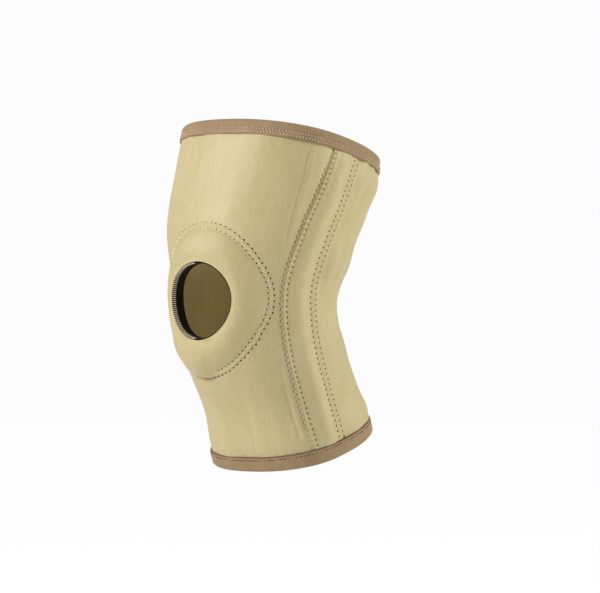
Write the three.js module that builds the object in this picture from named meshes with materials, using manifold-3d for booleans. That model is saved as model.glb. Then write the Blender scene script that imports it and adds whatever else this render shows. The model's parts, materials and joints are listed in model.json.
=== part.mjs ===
// A neoprene knee sleeve with an open kneecap, held open and slightly bent.
// Millimetres, +Z up, with the kneecap opening in front, at -Y. The left side is the one at +X.
// The origin is the middle of the bend, on the axis of the tube.
import * as THREE from "three";
import { mergeVertices } from "three/addons/utils/BufferGeometryUtils.js";
import Module from "manifold-3d";

const { degToRad, clamp, lerp } = THREE.MathUtils;

// Length of the tube above and below the middle of its bend, and how it bends
const UPPER_LENGTH = 107;
const LOWER_LENGTH = 121;
const UPPER_TILT = degToRad(12.4);
const LOWER_TILT = degToRad(15.5);
const BEND_LENGTH = 88;

// Outside of the sleeve at the middle of the bend: its width, and its depths before and behind the
// axis
const MIDDLE_WIDTH = 109;
const MIDDLE_FRONT = 58.5;
const MIDDLE_BACK = 59.7;
const FRONT_SQUARENESS = 2.3;
const BACK_SQUARENESS = 2.1;

// Thickness of the cloth and the gap between two sewn pieces
const WALL = 3.5;
const GAP = 0.3;

// Edge bindings: a folded tape
const TAPE = 1.2;
const BINDING_WIDTH = 11;

// Side strips, each a pocket over a stay
const STRIP_WIDTH = 25.5;
const STRIP_EDGE = 1.2;
const STRIP_CROWN = 2.6;

// Kneecap opening and the padded ring round it, seen from the front. KNEECAP_LEAN is how far both
// lean towards +X for each millimetre up.
const KNEECAP_LEAN = 0.12;
const HOLE_HALF_WIDTH = 26.6;
const HOLE_HALF_HEIGHT = 25.9;
const HOLE_DROP = 8.7;
const PAD_HALF_WIDTH = 45.5;
const PAD_HALF_HEIGHT = 53;
const PAD_DROP = 8.1;
const PAD_THICKNESS = 6.5;

// Overlocked edging of the opening
const EDGING = 0.9;
const EDGING_REACH = 3.2;

// Facets
const ALONG_STEPS = 24;
const FRONT_STEPS = 20;
const BACK_STEPS = 22;
const STRIP_STEPS = 5;
const RING_STEPS = 48;

// Halvings of a search, and the turn over which the distance round a section is measured
const SEARCH_STEPS = 40;
const MEASURED_TURN = 0.01;

// The tube's sections from the lower end to the upper one. along is a share of the lower or the
// upper length, width a share of MIDDLE_WIDTH, front and strip shares of MIDDLE_FRONT, and back of
// MIDDLE_BACK. strip is how far the middle of a side strip lies in front of the tube's axis.
const SECTIONS = [
  { along: -1.0, width: 0.955, front: 0.676, back: 1.255, strip: 0.091 },
  { along: -0.84, width: 0.94, front: 0.698, back: 1.22, strip: 0.125 },
  { along: -0.67, width: 0.925, front: 0.721, back: 1.125, strip: 0.161 },
  { along: -0.33, width: 0.947, front: 0.926, back: 0.943, strip: 0.256 },
  { along: 0.0, width: 1.0, front: 1.0, back: 1.02, strip: 0.28 },
  { along: 0.33, width: 1.125, front: 1.089, back: 1.17, strip: 0.184 },
  { along: 0.67, width: 1.18, front: 1.029, back: 1.345, strip: 0.021 },
  { along: 0.84, width: 1.18, front: 1.0, back: 1.43, strip: -0.056 },
  { along: 1.0, width: 1.18, front: 0.971, back: 1.407, strip: -0.129 },
];

// The pad's swell from the opening's rim (across 0) to the sewn outline (across 1), as a share of
// PAD_THICKNESS
const PAD_SWELL = [
  { across: 0, height: 0.8 },
  { across: 0.2, height: 0.8 },
  { across: 0.4, height: 1 },
  { across: 0.66, height: 1 },
  { across: 0.88, height: 0.68 },
  { across: 1, height: 0.12 },
];

// The edging's bead on each face, from the rim outwards: margin is a share of EDGING_REACH and
// height a share of EDGING
const BEAD = [
  { margin: 0.11, height: 0.8 },
  { margin: 0.5, height: 1 },
  { margin: 1, height: 0.5 },
];

// The rounded fold of a binding, on each face: inset from the face and distance back from the end,
// as shares of TAPE
const FOLD = [
  { inset: 0, back: 1.28 },
  { inset: 0.8, back: 0.24 },
];

// Colours and roughness
const CLOTH = { color: 0xcbb98a, roughness: 0.9 };
const BINDING = { color: 0xa88a68, roughness: 0.8 };
const OVERLOCK = { color: 0xd9cb9e, roughness: 0.85 };

const wasm = await Module();
wasm.setup();

const stations = SECTIONS.map(({ along }) =>
  along < 0 ? along * LOWER_LENGTH : along * UPPER_LENGTH,
);
const sectionSizes = new THREE.CubicInterpolant(
  stations,
  SECTIONS.flatMap(({ width, front, back, strip }) => [
    (width * MIDDLE_WIDTH) / 2,
    front * MIDDLE_FRONT,
    back * MIDDLE_BACK,
    strip * MIDDLE_FRONT,
  ]),
  4,
);

// Half width, depths in front of and behind the axis, and the strip's place, at s along the tube.
function sizesAt(s) {
  const [half, front, back, strip] = sectionSizes.evaluate(s);
  return { half, front, back, strip };
}

// The tube's axis at s above the middle: straight, then an arc through the bend, then straight.
function axisAt(s) {
  const bendHalf = BEND_LENGTH / 2;
  const turnRate = (UPPER_TILT + LOWER_TILT) / BEND_LENGTH;
  const middleTilt = (UPPER_TILT - LOWER_TILT) / 2;
  const inBend = clamp(s, -bendHalf, bendHalf);
  const tilt = middleTilt + turnRate * inBend;
  const past = s - inBend;
  return {
    y: (Math.cos(middleTilt) - Math.cos(tilt)) / turnRate + past * Math.sin(tilt),
    z: (Math.sin(tilt) - Math.sin(middleTilt)) / turnRate + past * Math.cos(tilt),
    tilt,
  };
}

// A point of the section at s, x to the side of the axis and ahead in front of it.
function placed(x, ahead, s) {
  const { y, z, tilt } = axisAt(s);
  return new THREE.Vector3(
    x,
    y - ahead * Math.cos(tilt),
    z + ahead * Math.sin(tilt),
  );
}

// Side and front distance of the outline at an angle from straight ahead, out outside the sleeve.
function outlineAt(angle, s, out) {
  const { half, front, back } = sizesAt(s);
  const isFront = Math.cos(angle) >= 0;
  const depth = (isFront ? front : back) + out;
  const power = isFront ? FRONT_SQUARENESS : BACK_SQUARENESS;
  const radius =
    (Math.abs(Math.cos(angle) / depth) ** power +
      Math.abs(Math.sin(angle) / (half + out)) ** power) **
    (-1 / power);
  return { x: radius * Math.sin(angle), ahead: radius * Math.cos(angle) };
}

function surfacePoint(angle, s, out) {
  const { x, ahead } = outlineAt(angle, s, out);
  return placed(x, ahead, s);
}

// The value between low and high where a rising function reaches the target.
function solveRising(rising, target, low, high) {
  for (let i = 0; i < SEARCH_STEPS; i++) {
    const middle = (low + high) / 2;
    if (rising(middle) < target) low = middle;
    else high = middle;
  }
  return (low + high) / 2;
}

// The front of the sleeve at x and height z, out outside its face.
function facePoint(x, z, out) {
  const aheadAt = (s) => {
    const { half, front } = sizesAt(s);
    const side = Math.min(1, Math.abs(x) / (half + out));
    return (
      (front + out) * (1 - side ** FRONT_SQUARENESS) ** (1 / FRONT_SQUARENESS)
    );
  };
  const s = solveRising(
    (along) => placed(x, aheadAt(along), along).z,
    z,
    -LOWER_LENGTH,
    UPPER_LENGTH,
  );
  return placed(x, aheadAt(s), s);
}

// The angle that lies a distance further round the section at s.
function angleAfter(angle, distance, s) {
  const half = MEASURED_TURN / 2;
  const perTurn = (a) =>
    surfacePoint(a + half, s, 0).distanceTo(surfacePoint(a - half, s, 0)) /
    MEASURED_TURN;
  const halfway = angle + distance / 2 / perTurn(angle);
  return angle + distance / perTurn(halfway);
}

// The angle of the middle of the left strip at s.
function stripAngle(s) {
  return solveRising(
    (angle) => -outlineAt(angle, s, 0).ahead,
    -sizesAt(s).strip,
    0,
    Math.PI,
  );
}

// Evenly spaced values, both ends included.
function spread(from, to, steps) {
  return Array.from({ length: steps + 1 }, (_, i) => lerp(from, to, i / steps));
}

// A closed solid through a row of loops with equally many points. Loops of a wall hold one face and
// then the other in reverse. The row closes on itself, or is capped across the wall at both ends.
function loft(loops, closed) {
  const around = loops[0].length;
  const points = loops.flat();
  const index = [];
  const quad = (a, b, c, d) => index.push(a, b, c, a, c, d);
  for (let row = 0; row < loops.length - (closed ? 0 : 1); row++) {
    const here = row * around;
    const next = ((row + 1) % loops.length) * around;
    for (let i = 0; i < around; i++) {
      const j = (i + 1) % around;
      quad(here + i, here + j, next + j, next + i);
    }
  }
  if (!closed) {
    const last = (loops.length - 1) * around;
    for (let i = 0; i < around / 2 - 1; i++) {
      const far = around - 1 - i;
      quad(i, far, far - 1, i + 1);
      quad(last + i, last + i + 1, last + far - 1, last + far);
    }
  }
  return new THREE.BufferGeometry().setFromPoints(points).setIndex(index);
}

function toSolid(geometry) {
  const bare = geometry.clone();
  bare.deleteAttribute("normal");
  bare.deleteAttribute("uv");
  const merged = mergeVertices(bare);
  return new wasm.Manifold(
    new wasm.Mesh({
      numProp: 3,
      vertProperties: new Float32Array(merged.attributes.position.array),
      triVerts: new Uint32Array(merged.index.array),
    }),
  );
}

function toGeometry(solid) {
  const { vertProperties, triVerts } = solid.getMesh();
  return new THREE.BufferGeometry()
    .setAttribute("position", new THREE.BufferAttribute(vertProperties, 3))
    .setIndex(new THREE.BufferAttribute(triVerts, 1));
}

// The cut ends of the cloth, which stop inside the fold of each binding.
const clothTop = UPPER_LENGTH - TAPE - GAP;
const clothBottom = -(LOWER_LENGTH - TAPE - GAP);

// A curved wall between two angles, which may change along the tube.
// thickness is its outer face's height over inner, at a share of the way across.
function wall(from, to, bottom, top, inner, thickness, steps) {
  const loops = spread(bottom, top, ALONG_STEPS).map((s) => {
    const shares = spread(0, 1, steps);
    const face = (share, out) =>
      surfacePoint(lerp(from(s), to(s), share), s, out);
    return [
      ...shares.map((share) => face(share, inner + thickness(share))),
      ...shares.reverse().map((share) => face(share, inner)),
    ];
  });
  return loft(loops, false);
}

// The angles of both panels' facets at s, so that a binding follows them.
function anglesRound(s) {
  const seam = stripAngle(s);
  return [
    ...spread(-seam, seam, FRONT_STEPS),
    ...spread(seam, 2 * Math.PI - seam, BACK_STEPS).slice(1, -1),
  ];
}

const seamAfter = (s) => angleAfter(stripAngle(s), GAP / 2, s);
const seamBefore = (s) => angleAfter(stripAngle(s), -GAP / 2, s);

// A leaning ellipse seen from the front, at an angle round it from its top.
function leaningEllipse(turn, halfWidth, halfHeight, drop) {
  const rise = halfHeight * Math.cos(turn);
  return {
    x: halfWidth * Math.sin(turn) + KNEECAP_LEAN * rise,
    z: rise - drop,
  };
}

// The opening's outline, grown by a margin.
function holeOutline(turn, margin) {
  return leaningEllipse(
    turn,
    HOLE_HALF_WIDTH + margin,
    HOLE_HALF_HEIGHT + margin,
    HOLE_DROP,
  );
}

// The sewn outline of the pad.
function padOutline(turn) {
  return leaningEllipse(turn, PAD_HALF_WIDTH, PAD_HALF_HEIGHT, PAD_DROP);
}

const ringTurns = spread(0, 2 * Math.PI, RING_STEPS).slice(0, -1);
const clothMargin = EDGING + GAP;

function frontPanel() {
  const cloth = wall(
    (s) => -seamBefore(s),
    seamBefore,
    clothBottom,
    clothTop,
    -WALL,
    () => WALL,
    FRONT_STEPS,
  );
  const outline = new THREE.Shape(
    ringTurns.map((turn) => {
      const { x, z } = holeOutline(turn, clothMargin);
      return new THREE.Vector2(x, z);
    }),
  );
  const wellPastFront = 2 * MIDDLE_FRONT;
  const cutter = new THREE.ExtrudeGeometry(outline, {
    depth: wellPastFront,
    bevelEnabled: false,
  }).rotateX(Math.PI / 2);
  return toGeometry(toSolid(cloth).subtract(toSolid(cutter)));
}

function backPanel() {
  return wall(
    seamAfter,
    (s) => 2 * Math.PI - seamAfter(s),
    clothBottom,
    clothTop,
    -WALL,
    () => WALL,
    BACK_STEPS,
  );
}

// A strip over the seam of the two panels, crowned by the stay in its pocket. side is 1 or -1.
function sideStrip(side) {
  const edge = (s, sign) =>
    angleAfter(stripAngle(s), (sign * STRIP_WIDTH) / 2, s);
  return wall(
    (s) => (side > 0 ? edge(s, -1) : -edge(s, 1)),
    (s) => (side > 0 ? edge(s, 1) : -edge(s, -1)),
    -(LOWER_LENGTH - BINDING_WIDTH - GAP),
    UPPER_LENGTH - BINDING_WIDTH - GAP,
    GAP,
    (share) => lerp(STRIP_EDGE, STRIP_CROWN, Math.sin(Math.PI * share)),
    STRIP_STEPS,
  );
}

// The padded ring that swells out round the opening.
function patellaPad() {
  const loops = ringTurns.map((turn) => {
    const rim = holeOutline(turn, clothMargin);
    const sewn = padOutline(turn);
    const at = (across, out) =>
      facePoint(lerp(rim.x, sewn.x, across), lerp(rim.z, sewn.z, across), out);
    return [
      ...PAD_SWELL.map(({ across }) => at(across, GAP)),
      ...PAD_SWELL.toReversed().map(({ across, height }) =>
        at(across, GAP + height * PAD_THICKNESS),
      ),
    ];
  });
  return loft(loops, true);
}

// Overlocked thread and cloth that wraps the rim of the opening, panel and pad together.
function patellaEdging() {
  const outside = GAP + PAD_SWELL[0].height * PAD_THICKNESS + GAP;
  const inside = -WALL - GAP;
  const bead = (face, way) =>
    BEAD.map(({ margin, height }) => ({
      margin: margin * EDGING_REACH,
      out: face + way * height * EDGING,
    }));
  const profile = [
    { margin: EDGING_REACH, out: outside },
    ...bead(outside, 1).reverse(),
    { margin: 0, out: outside },
    { margin: 0, out: inside },
    ...bead(inside, -1),
    { margin: EDGING_REACH, out: inside },
    { margin: EDGING, out: inside },
    { margin: EDGING, out: outside },
  ];
  const loops = ringTurns.map((turn) =>
    profile.map(({ margin, out }) => {
      const { x, z } = holeOutline(turn, margin);
      return facePoint(x, z, out);
    }),
  );
  return loft(loops, true);
}

// A tape folded over the end of the cloth. end is the fold's place along the tube, and way is 1
// where it opens downwards and -1 where it opens upwards.
function binding(end, way) {
  const outer = GAP + TAPE;
  const inner = -WALL - GAP - TAPE;
  const fold = (face, inwards) =>
    FOLD.map(({ inset, back }) => ({
      out: face + inwards * inset * TAPE,
      back: back * TAPE,
    }));
  const profile = [
    { out: GAP, back: BINDING_WIDTH },
    { out: outer, back: BINDING_WIDTH },
    ...fold(outer, -1),
    { out: (outer + inner) / 2, back: 0 },
    ...fold(inner, 1).reverse(),
    { out: inner, back: BINDING_WIDTH },
    { out: inner + TAPE, back: BINDING_WIDTH },
    { out: inner + TAPE, back: TAPE },
    { out: GAP, back: TAPE },
  ];
  const loops = profile.map(({ out, back }) => {
    const s = end - way * back;
    return anglesRound(s).map((angle) => surfacePoint(angle, s, out));
  });
  return loft(way > 0 ? loops : loops.reverse(), true);
}

function mesh(name, geometry, finish) {
  const flat = geometry.toNonIndexed();
  flat.computeVertexNormals();
  const material = new THREE.MeshStandardMaterial({ ...finish, metalness: 0 });
  const made = new THREE.Mesh(flat, material);
  made.name = name;
  return made;
}

const sleeve = new THREE.Group();
sleeve.name = "knee_sleeve";
sleeve.add(
  mesh("front_panel", frontPanel(), CLOTH),
  mesh("back_panel", backPanel(), CLOTH),
  mesh("side_strip_left", sideStrip(1), CLOTH),
  mesh("side_strip_right", sideStrip(-1), CLOTH),
  mesh("patella_pad", patellaPad(), CLOTH),
  mesh("patella_edging", patellaEdging(), OVERLOCK),
  mesh("top_binding", binding(UPPER_LENGTH, 1), BINDING),
  mesh("bottom_binding", binding(-LOWER_LENGTH, -1), BINDING),
);

export default sleeve;
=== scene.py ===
"""A knee sleeve of padded jersey with an open kneecap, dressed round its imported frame."""

import json
import math

import bpy
import numpy as np
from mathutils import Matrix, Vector

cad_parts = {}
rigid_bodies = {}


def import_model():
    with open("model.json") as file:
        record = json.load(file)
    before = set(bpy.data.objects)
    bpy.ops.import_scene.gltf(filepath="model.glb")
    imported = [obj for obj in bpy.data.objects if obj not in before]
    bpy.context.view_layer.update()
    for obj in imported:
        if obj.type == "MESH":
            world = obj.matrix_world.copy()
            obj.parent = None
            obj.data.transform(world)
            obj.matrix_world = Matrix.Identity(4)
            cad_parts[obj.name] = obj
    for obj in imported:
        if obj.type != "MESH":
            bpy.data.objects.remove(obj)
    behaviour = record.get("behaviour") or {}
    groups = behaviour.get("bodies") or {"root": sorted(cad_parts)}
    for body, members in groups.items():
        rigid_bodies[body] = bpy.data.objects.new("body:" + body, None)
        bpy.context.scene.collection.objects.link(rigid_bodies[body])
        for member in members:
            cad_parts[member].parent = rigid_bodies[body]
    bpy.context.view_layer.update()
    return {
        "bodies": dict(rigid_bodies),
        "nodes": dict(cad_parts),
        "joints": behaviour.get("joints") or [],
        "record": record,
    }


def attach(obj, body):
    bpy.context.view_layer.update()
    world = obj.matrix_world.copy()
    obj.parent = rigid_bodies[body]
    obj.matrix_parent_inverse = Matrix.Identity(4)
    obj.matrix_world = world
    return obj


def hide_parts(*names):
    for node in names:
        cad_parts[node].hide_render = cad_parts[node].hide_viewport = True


bl_info = {
    "name": "Knee Sleeve",
    "version": (1, 0, 0),
    "blender": (4, 5, 0),
    "location": "View3D > Sidebar > Knee Sleeve",
    "description": "Makes the cloth, pad, edging, tapes and stitching of a knee sleeve",
    "category": "Add Mesh",
}

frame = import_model()
MM = 0.001

# The form and the sizes of the tube, as in the solids, in millimetres
UPPER_LENGTH = 107.0
LOWER_LENGTH = 121.0
UPPER_TILT = math.radians(12.4)
LOWER_TILT = math.radians(15.5)
BEND_LENGTH = 88.0
MIDDLE_WIDTH = 109.0
MIDDLE_FRONT = 58.5
MIDDLE_BACK = 59.7
FRONT_SQUARENESS = 2.3
BACK_SQUARENESS = 2.1
WALL = 3.5
TAPE = 1.2
GAP = 0.3
BINDING_WIDTH = 11.0
STRIP_WIDTH = 25.5
STRIP_CROWN = 2.6
KNEECAP_LEAN = 0.12
HOLE_HALF_WIDTH = 26.6
HOLE_HALF_HEIGHT = 25.9
HOLE_DROP = 8.7
PAD_HALF_WIDTH = 45.5
PAD_HALF_HEIGHT = 53.0
PAD_DROP = 8.1
PAD_THICKNESS = 6.5
EDGING = 0.9
EDGING_REACH = 3.2
CLOTH_TOP = UPPER_LENGTH - TAPE - GAP
CLOTH_BOTTOM = -(LOWER_LENGTH - TAPE - GAP)
STRIP_TOP = UPPER_LENGTH - BINDING_WIDTH - GAP
STRIP_BOTTOM = -(LOWER_LENGTH - BINDING_WIDTH - GAP)

# Share of the lower or upper length, then shares of the middle's width, front and back, and how far
# the middle of a side strip lies ahead of the axis as a share of the middle's front
SECTIONS = np.array(
    [
        (-1.0, 0.955, 0.676, 1.255, 0.091),
        (-0.84, 0.94, 0.698, 1.22, 0.125),
        (-0.67, 0.925, 0.721, 1.125, 0.161),
        (-0.33, 0.947, 0.926, 0.943, 0.256),
        (0.0, 1.0, 1.0, 1.02, 0.28),
        (0.33, 1.125, 1.089, 1.17, 0.184),
        (0.67, 1.18, 1.029, 1.345, 0.021),
        (0.84, 1.18, 1.0, 1.43, -0.056),
        (1.0, 1.18, 0.971, 1.407, -0.129),
    ]
)
STATIONS = np.where(
    SECTIONS[:, 0] < 0, SECTIONS[:, 0] * LOWER_LENGTH, SECTIONS[:, 0] * UPPER_LENGTH
)
SIZES = SECTIONS[:, 1:] * (MIDDLE_WIDTH / 2, MIDDLE_FRONT, MIDDLE_BACK, MIDDLE_FRONT)

# Spacing of the stitches along each kind of seam, and of the threads round the opening
SEAM_PITCH = 3.9
RING_PITCH = 4.0
TAPE_PITCH = 2.3
BOTTOM_PITCH = 2.9
OVERCAST_PITCH = 1.45

# Where the stitching of a side strip pierces the panel and the strip, from the strip's edge
PANEL_ROW = 2.0
REAR_PANEL_ROW = 3.4
STRIP_ROW = 2.3

# Rows of stitching round the pad, from its sewn outline
OUTER_ROW = 0.4
INNER_ROW = -3.5

# From each end of a strip to the first stitch of its seams
SEAM_MARGIN = 0.8

# How thick the strips are at their edges
FRONT_LIP = 1.0
REAR_LIP = 0.5

# How steeply the pad rounds off, its height at the opening's rim as a share of its thickness, and
# how far it hangs past its ellipse low down, at an angle round it from its top
PAD_ROUNDNESS = 2.4
PAD_RIM = 0.84
PAD_SAG = 2.2
PAD_SAG_TURN = 3.75

# The pad's face blown up as cloth: its pressure, its frames, the furthest that a point may move,
# and how many points the trial has round the pad and across it
CLOTH_PRESSURE = 20.0
CLOTH_FRAMES = 20
CLOTH_CAP = 1.2
TRIAL_TURNS = 144
TRIAL_SHARES = 15

CLOTH_ROUGHNESS = 0.52

# Mean radius of the two ends, which lays the tapes' angles out flat
TAPE_RADIUS = 62

# The floor's glow against the background's, and the soft boxes round the stage
FLOOR_GAIN = 1.07
LAMP_DISTANCE = 2.6
LAMP_SIZE = 1.2
LAMPS = [("key", -22, 30, 44.5, (0.965, 0.93, 1.0)), ("rim", 139, 22, 33, (1.0, 0.96, 0.88))]

# Folds across the back of the bend: place along the tube, depth and slant
BACK_FOLDS = [
    {"place": -15.0, "depth": 0.7, "slant": 0.08},
    {"place": -3.0, "depth": 1.0, "slant": -0.05},
    {"place": 8.0, "depth": 0.8, "slant": 0.06},
    {"place": 20.0, "depth": 0.5, "slant": -0.1},
]

# Soft swells and hollows of the back panel: place along the tube, reach and height
BACK_SWELLS = [
    {"place": -101.0, "reach": 9.0, "height": 1.3},
    {"place": -50.0, "reach": 12.0, "height": 1.1},
    {"place": -14.0, "reach": 14.0, "height": -1.3},
    {"place": 18.0, "reach": 12.0, "height": 1.4},
    {"place": 44.0, "reach": 11.0, "height": -0.8},
    {"place": 84.0, "reach": 10.0, "height": 1.6},
]


def sizes_at(s):
    """Half width, front, back and strip place at s along the tube, on a smooth curve."""
    secant = np.diff(SIZES, axis=0) / np.diff(STATIONS)[:, None]
    slope = np.vstack([secant[:1], (secant[1:] + secant[:-1]) / 2, secant[-1:]])
    s = np.clip(np.asarray(s, float), STATIONS[0], STATIONS[-1])
    i = np.clip(np.searchsorted(STATIONS, s) - 1, 0, len(STATIONS) - 2)
    span = (STATIONS[i + 1] - STATIONS[i])[..., None]
    p = (s - STATIONS[i])[..., None] / span
    return np.moveaxis(
        SIZES[i] * (1 + 2 * p) * (1 - p) ** 2
        + slope[i] * span * p * (1 - p) ** 2
        + SIZES[i + 1] * p**2 * (3 - 2 * p)
        + slope[i + 1] * span * p**2 * (p - 1),
        -1,
        0,
    )


def placed(x, ahead, s):
    """A point of the section at s, x to the side of the tube's axis and ahead in front of it."""
    bend_half = BEND_LENGTH / 2
    turn_rate = (UPPER_TILT + LOWER_TILT) / BEND_LENGTH
    middle_tilt = (UPPER_TILT - LOWER_TILT) / 2
    in_bend = np.clip(s, -bend_half, bend_half)
    tilt = middle_tilt + turn_rate * in_bend
    past = s - in_bend
    y = (math.cos(middle_tilt) - np.cos(tilt)) / turn_rate + past * np.sin(tilt)
    z = (np.sin(tilt) - math.sin(middle_tilt)) / turn_rate + past * np.cos(tilt)
    return np.stack(np.broadcast_arrays(x, y - ahead * np.cos(tilt), z + ahead * np.sin(tilt)), -1)


def outline(angle, s, out):
    """Side and front distance of the sleeve's face at an angle from straight ahead."""
    half, front, back, _ = sizes_at(s)
    is_front = np.cos(angle) >= 0
    depth = np.where(is_front, front, back) + out
    power = np.where(is_front, FRONT_SQUARENESS, BACK_SQUARENESS)
    radius = (
        np.abs(np.cos(angle) / depth) ** power + np.abs(np.sin(angle) / (half + out)) ** power
    ) ** (-1 / power)
    return radius * np.sin(angle), radius * np.cos(angle)


def surface(angle, s, out=0.0):
    """A point on the sleeve, out outside its face."""
    x, ahead = outline(angle, s, out)
    return placed(x, ahead, s)


def solve_rising(rising, target, low, high, steps=40):
    """Where a rising function reaches the target, for arrays."""
    for _ in range(steps):
        middle = (low + high) / 2
        below = rising(middle) < target
        low = np.where(below, middle, low)
        high = np.where(below, high, middle)
    return (low + high) / 2


def face(x, z, out=0.0):
    """The front of the sleeve at x and height z, out outside its face."""

    def ahead(s):
        half, front, _, _ = sizes_at(s)
        side = np.minimum(1, np.abs(x) / (half + out))
        return (front + out) * (1 - side**FRONT_SQUARENESS) ** (1 / FRONT_SQUARENESS)

    low = np.full(np.broadcast(x, z, out).shape, -LOWER_LENGTH)
    s = solve_rising(lambda s: placed(x, ahead(s), s)[..., 2], z, low, -low)
    return placed(x, ahead(s), s)


def strip_angle(s):
    """The angle of the middle of the left strip at s."""
    table = np.linspace(-LOWER_LENGTH, UPPER_LENGTH, 229)
    place = sizes_at(table)[3]
    low = np.zeros_like(table)
    angle = solve_rising(lambda a: -outline(a, table, 0.0)[1], -place, low, low + math.pi)
    return np.interp(s, table, angle)


def angle_after(angle, distance, s):
    """The angle that lies a distance further round the section at s."""
    step = 0.01

    def speed(a):
        return np.linalg.norm(surface(a + step, s) - surface(a - step, s), axis=-1) / (2 * step)

    halfway = angle + distance / 2 / speed(angle)
    return angle + distance / speed(halfway)


def smooth(low, high, value):
    """0 below low, 1 above high, eased between."""
    t = np.clip((value - low) / (high - low), 0, 1)
    return t * t * (3 - 2 * t)


def bell(value, width):
    return np.exp(-((value / width) ** 2))


def leaning(turn, half_width, half_height, drop):
    """A leaning ellipse seen from the front, at an angle round it from its top."""
    rise = half_height * np.cos(turn)
    return half_width * np.sin(turn) + KNEECAP_LEAN * rise, rise - drop


def hole_outline(turn, margin):
    return leaning(turn, HOLE_HALF_WIDTH + margin, HOLE_HALF_HEIGHT + margin, HOLE_DROP)


def sagging(turn):
    """How far the pad hangs out past its ellipse low down at the right of the sleeve."""
    return PAD_SAG * bell(turn - PAD_SAG_TURN, 0.4)


def pad_outline(turn, margin=0.0):
    more = margin + sagging(turn)
    return leaning(turn, PAD_HALF_WIDTH + more, PAD_HALF_HEIGHT + more, PAD_DROP)


def share_of_ellipse(x, z, half_width, half_height, drop):
    """How far out a point lies in a leaning ellipse: 1 on its outline."""
    rise = z + drop
    return np.hypot((x - KNEECAP_LEAN * rise) / half_width, rise / half_height)


def stitch_numbers(points, pitch):
    """How many stitches lie before each of a line of points, which takes a round number of them."""
    steps = np.linalg.norm(np.diff(points, axis=0), axis=1)
    length = np.concatenate([[0], np.cumsum(steps)])
    return length / length[-1] * int(length[-1] / pitch)


def pucker(number, across):
    """Cloth drawn in at a row of stitches: a groove, deeper at each needle hole."""
    wave = 0.5 + 0.5 * np.cos(2 * math.pi * number)
    return -bell(across, 1.4) * (0.2 + 0.4 * wave)


def slow_waves(a, b, seed, count=7, shortest=30.0, longest=90.0):
    """Smooth seeded unevenness, between about -1 and 1."""
    draw = np.random.default_rng(seed)
    total = 0
    for _ in range(count):
        length = draw.uniform(shortest, longest)
        turn = draw.uniform(-0.5, 0.5)
        phase = draw.uniform(0, 2 * math.pi)
        total = total + np.sin(
            2 * math.pi * (a * math.cos(turn) + b * math.sin(turn) * 0.6) / length + phase
        )
    return total / math.sqrt(count)


def strip_height(across, s):
    """Height of a side strip over the panels, across from its middle and s along the tube."""
    edge = STRIP_WIDTH / 2 - np.abs(across)
    thin = np.where(across < 0, FRONT_LIP, REAR_LIP)
    lip = thin * smooth(-0.5, 0.7, edge)
    standing = np.where(across < 0, 0.25 + 0.3 * smooth(-15, 25, s), 0.1)
    ridge = standing * bell(edge - 0.7, 0.5)
    groove = 0.35 * bell(edge - STRIP_ROW, 1.0)
    dome = (STRIP_CROWN - thin) * smooth(2.8, STRIP_WIDTH / 2, edge)
    to_end = np.minimum(STRIP_TOP - s, s - STRIP_BOTTOM)
    pressed = 0.42 + 0.58 * smooth(0, 9, to_end)
    return GAP + (lip + ridge - groove + dome) * pressed


def folded_over(turn):
    """Where the full pad hides its own stitching low down: 1 there, 0 elsewhere round it."""
    return smooth(2.92, 3.26, turn) * (1 - smooth(3.85, 4.15, turn))


def pad_height(across, inside, width, turn):
    """Height of the pad over the front cloth, across from the opening's rim (0) to the sewn outline
    (1), and inside the outline by a distance of its whole width."""
    sewn = (0.3 - INNER_ROW) * (1 - 0.85 * folded_over(turn))
    up = np.clip((inside - sewn) / (width - sewn), 0, 1)
    round_off = PAD_ROUNDNESS + 0.9 * bell(turn - 2.6, 1.0) + 2.5 * folded_over(turn)
    dome = 1 - (1 - up) ** round_off
    rim = 1 - (1 - PAD_RIM) * (1 - smooth(0.0, 0.3, across))
    # Fullest low down, where it stands over its own stitching
    full = 1 + 0.16 * bell(turn - 3.5, 0.8) * smooth(0, 0.4, across)
    return 0.35 + PAD_THICKNESS * dome * rim * full


def linked(name, data):
    """A new object in the scene."""
    made = bpy.data.objects.new(name, data)
    bpy.context.scene.collection.objects.link(made)
    return made


def make_object(name, vertices, faces, materials, uv):
    """A smooth mesh object at the origin, from points in millimetres."""
    mesh = bpy.data.meshes.new(name)
    mesh.from_pydata((np.asarray(vertices) * MM).tolist(), [], faces)
    mesh.validate()
    layer = mesh.uv_layers.new(name="cloth")
    index = np.zeros(len(mesh.loops), np.int32)
    mesh.loops.foreach_get("vertex_index", index)
    layer.data.foreach_set("uv", (np.asarray(uv)[index] * MM).ravel())
    mesh.polygons.foreach_set("use_smooth", [True] * len(mesh.polygons))
    for material in materials:
        mesh.materials.append(material)
    return linked(name, mesh)


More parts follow.
